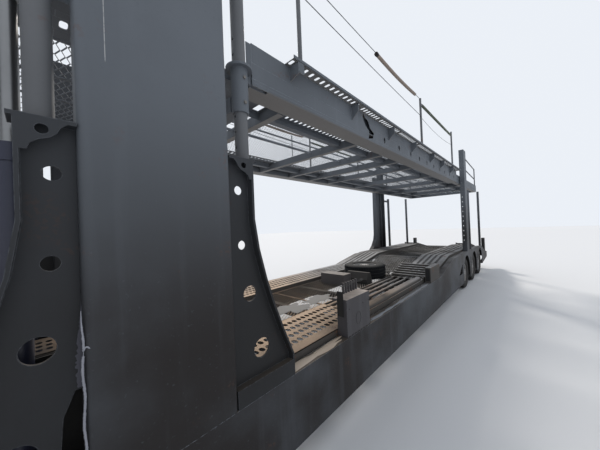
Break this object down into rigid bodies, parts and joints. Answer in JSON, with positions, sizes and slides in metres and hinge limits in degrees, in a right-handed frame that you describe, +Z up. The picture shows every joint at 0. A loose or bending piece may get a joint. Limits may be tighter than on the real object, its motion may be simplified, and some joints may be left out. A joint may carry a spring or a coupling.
{
  "type": "car transporter semi-trailer",
  "caption": "Low-bed car transporter semi-trailer with a lifting and tilting upper deck, a tilting front deck, fold-over tail ramps and landing legs.",
  "frame": {"origin": "on the ground under the middle of the trailer's length and width", "axes": "+X forward to the kingpin, +Y to the trailer's left side, +Z up"},
  "size_m": [15.2, 2.5, 3.862],
  "materials": {
    "frame_paint": "dark slate grey paint, dusty and chipped",
    "deck_steel": "trodden dark grey steel with tan dust and rust at the holes",
    "worn_steel": "grey paint worn to steel where pins and sleeves slide",
    "running_gear_paint": "black chassis paint with road dirt",
    "rim_paint": "silver grey wheel paint, dirty",
    "tyre_rubber": "black tyre rubber, dusty",
    "bellows_rubber": "black bellows rubber",
    "ram_paint": "dark navy paint",
    "ram_chrome": "hard chromed rod",
    "pin_steel": "greased bare steel",
    "lamp_housing": "black lamp housing"
  },
  "bodies": {
    "chassis": {"air_springs": "bellows_rubber", "axles": "running_gear_paint", "bed_cross_members": "frame_paint", "centre_floor": "deck_steel", "column_gussets_left": "frame_paint", "column_gussets_right": "frame_paint", "control_box": "frame_paint", "front_posts": "frame_paint", "grey_chock": "frame_paint", "kingpin": "pin_steel", "landing_legs": "running_gear_paint", "lower_track_left": "deck_steel", "lower_track_right": "deck_steel", "main_column_left": "frame_paint", "main_column_right": "frame_paint", "neck_plate": "frame_paint", "prop_tubes": "worn_steel", "ram_barrels": "ram_paint", "rear_frame": "frame_paint", "rear_posts": "frame_paint", "rubber_chock": "bellows_rubber", "side_sill_left": "frame_paint", "side_sill_right": "frame_paint", "slat_step": "deck_steel", "spare_rim": "rim_paint", "spare_tyre": "tyre_rubber", "tail_lamps": "lamp_housing", "track_bars": "deck_steel", "trailing_arms": "running_gear_paint"},
    "wheel_1_left": {"tyre_1_left": "tyre_rubber", "rim_1_left": "rim_paint"},
    "wheel_1_right": {"tyre_1_right": "tyre_rubber", "rim_1_right": "rim_paint"},
    "wheel_2_left": {"tyre_2_left": "tyre_rubber", "rim_2_left": "rim_paint"},
    "wheel_2_right": {"tyre_2_right": "tyre_rubber", "rim_2_right": "rim_paint"},
    "wheel_3_left": {"tyre_3_left": "tyre_rubber", "rim_3_left": "rim_paint"},
    "wheel_3_right": {"tyre_3_right": "tyre_rubber", "rim_3_right": "rim_paint"},
    "carriage": {"deck_carriage": "frame_paint"},
    "upper_deck": {"upper_side_beam_left": "frame_paint", "upper_side_beam_right": "frame_paint", "upper_cross_members": "frame_paint", "upper_tracks": "deck_steel", "upper_mesh_floor": "deck_steel", "guard_rails": "worn_steel"},
    "front_deck": {"front_deck_frame": "frame_paint", "front_deck_floor": "deck_steel"},
    "ram_rods": {"ram_rods": "ram_chrome"},
    "ramp_left": {"tail_ramp_left": "deck_steel"},
    "ramp_right": {"tail_ramp_right": "deck_steel"}
  },
  "joints": [
    {"name": "wheel_1_left_spin", "type": "hinge", "parent": "chassis", "child": "wheel_1_left", "pos_m": [-3.65, 1.085, 0.4], "axis": [0, 1, 0], "continuous": true},
    {"name": "wheel_1_right_spin", "type": "hinge", "parent": "chassis", "child": "wheel_1_right", "pos_m": [-3.65, -1.085, 0.4], "axis": [0, 1, 0], "continuous": true},
    {"name": "wheel_2_left_spin", "type": "hinge", "parent": "chassis", "child": "wheel_2_left", "pos_m": [-4.8, 1.085, 0.4], "axis": [0, 1, 0], "continuous": true},
    {"name": "wheel_2_right_spin", "type": "hinge", "parent": "chassis", "child": "wheel_2_right", "pos_m": [-4.8, -1.085, 0.4], "axis": [0, 1, 0], "continuous": true},
    {"name": "wheel_3_left_spin", "type": "hinge", "parent": "chassis", "child": "wheel_3_left", "pos_m": [-5.95, 1.085, 0.4], "axis": [0, 1, 0], "continuous": true},
    {"name": "wheel_3_right_spin", "type": "hinge", "parent": "chassis", "child": "wheel_3_right", "pos_m": [-5.95, -1.085, 0.4], "axis": [0, 1, 0], "continuous": true},
    {"name": "deck_lift", "type": "slide", "parent": "chassis", "child": "carriage", "axis": [0, 0, 1], "range_m": [-0.28, 0.3]},
    {"name": "deck_tilt", "type": "hinge", "parent": "carriage", "child": "upper_deck", "pos_m": [3, 0, 2.826], "axis": [0, 1, 0], "range_deg": [-8, 2]},
    {"name": "front_deck_tilt", "type": "hinge", "parent": "chassis", "child": "front_deck", "pos_m": [7.37, 0, 2.826], "axis": [0, 1, 0], "range_deg": [-3, 8]},
    {"name": "ram_stroke", "type": "slide", "parent": "chassis", "child": "ram_rods", "axis": [0, 0, 1], "range_m": [-0.17, 0.45]},
    {"name": "ramp_left_fold", "type": "hinge", "parent": "chassis", "child": "ramp_left", "pos_m": [-7.56, 0.84, 0.69], "axis": [0, -1, 0], "range_deg": [0, 189]},
    {"name": "ramp_right_fold", "type": "hinge", "parent": "chassis", "child": "ramp_right", "pos_m": [-7.56, -0.84, 0.69], "axis": [0, -1, 0], "range_deg": [0, 189]}
  ],
  "couplings": [
    {"joint": "ram_stroke", "follows": "front_deck_tilt", "m_per_rad": 3.21}
  ]
}
